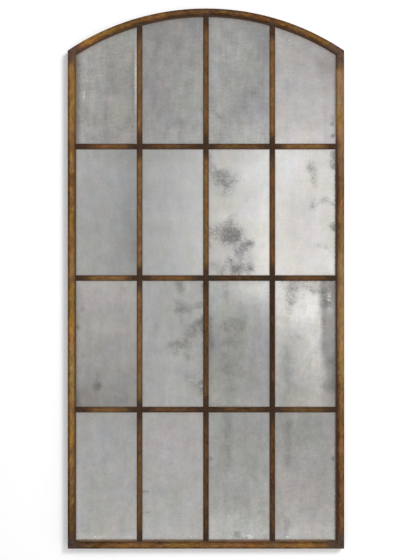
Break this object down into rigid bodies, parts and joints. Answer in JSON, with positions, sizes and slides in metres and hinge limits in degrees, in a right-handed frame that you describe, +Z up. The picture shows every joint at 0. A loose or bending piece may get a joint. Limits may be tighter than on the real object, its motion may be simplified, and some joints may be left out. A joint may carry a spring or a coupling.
{
  "type": "arched window-pane mirror",
  "caption": "Tall arched wall mirror like a window: a steel frame with bevelled glazing bars, separate antiqued mirror panes, a backing board and swinging hanger rings.",
  "frame": {"origin": "at the foot of the bounding box, in the middle of its width and depth", "axes": "+Z up along the mirror's height, -Y out of its front, +Y towards the wall, X across its width"},
  "size_m": [1.066, 0.0339, 2.082],
  "materials": {
    "frame_finish": "hand-rubbed golden brown over dark bronze, burnished dark at joints and edges",
    "bar_finish": "the frame's finish, darker and redder, nearly black at the crossings",
    "antique_mirror": "silvered glass antiqued to a soft grey, with clouded and dark foxed patches",
    "mastic": "matt mirror mastic",
    "fibreboard": "raw fibreboard",
    "zinc_steel": "zinc plated",
    "screw_steel": "zinc plated",
    "ring_steel": "drawn steel wire",
    "bumper_rubber": "matt black"
  },
  "bodies": {
    "mirror": {"frame_bottom_rail": "frame_finish", "frame_left_stile": "frame_finish", "frame_right_stile": "frame_finish", "frame_arch_rail": "frame_finish", "vertical_bar_1": "bar_finish", "vertical_bar_2": "bar_finish", "vertical_bar_3": "bar_finish", "horizontal_bar_1": "bar_finish", "horizontal_bar_2": "bar_finish", "horizontal_bar_3": "bar_finish", "pane_r1_c1": "antique_mirror", "pane_r1_c2": "antique_mirror", "pane_r1_c3": "antique_mirror", "pane_r1_c4": "antique_mirror", "pane_r2_c1": "antique_mirror", "pane_r2_c2": "antique_mirror", "pane_r2_c3": "antique_mirror", "pane_r2_c4": "antique_mirror", "pane_r3_c1": "antique_mirror", "pane_r3_c2": "antique_mirror", "pane_r3_c3": "antique_mirror", "pane_r3_c4": "antique_mirror", "pane_r4_c1": "antique_mirror", "pane_r4_c2": "antique_mirror", "pane_r4_c3": "antique_mirror", "pane_r4_c4": "antique_mirror", "mastic_dabs": "mastic", "backing_board": "fibreboard", "backing_clips": "zinc_steel", "clip_screws": "screw_steel", "left_hanger_strap": "zinc_steel", "right_hanger_strap": "zinc_steel", "hanger_screws": "screw_steel", "wall_bumpers": "bumper_rubber"},
    "left_ring": {"left_hanger_ring": "ring_steel"},
    "right_ring": {"right_hanger_ring": "ring_steel"}
  },
  "joints": [
    {"name": "left_ring_swing", "type": "hinge", "parent": "mirror", "child": "left_ring", "pos_m": [-0.522, 0.01235, 1.7], "axis": [1, 0, 0], "range_deg": [0, 180]},
    {"name": "right_ring_swing", "type": "hinge", "parent": "mirror", "child": "right_ring", "pos_m": [0.522, 0.01235, 1.7], "axis": [1, 0, 0], "range_deg": [0, 180]}
  ]
}
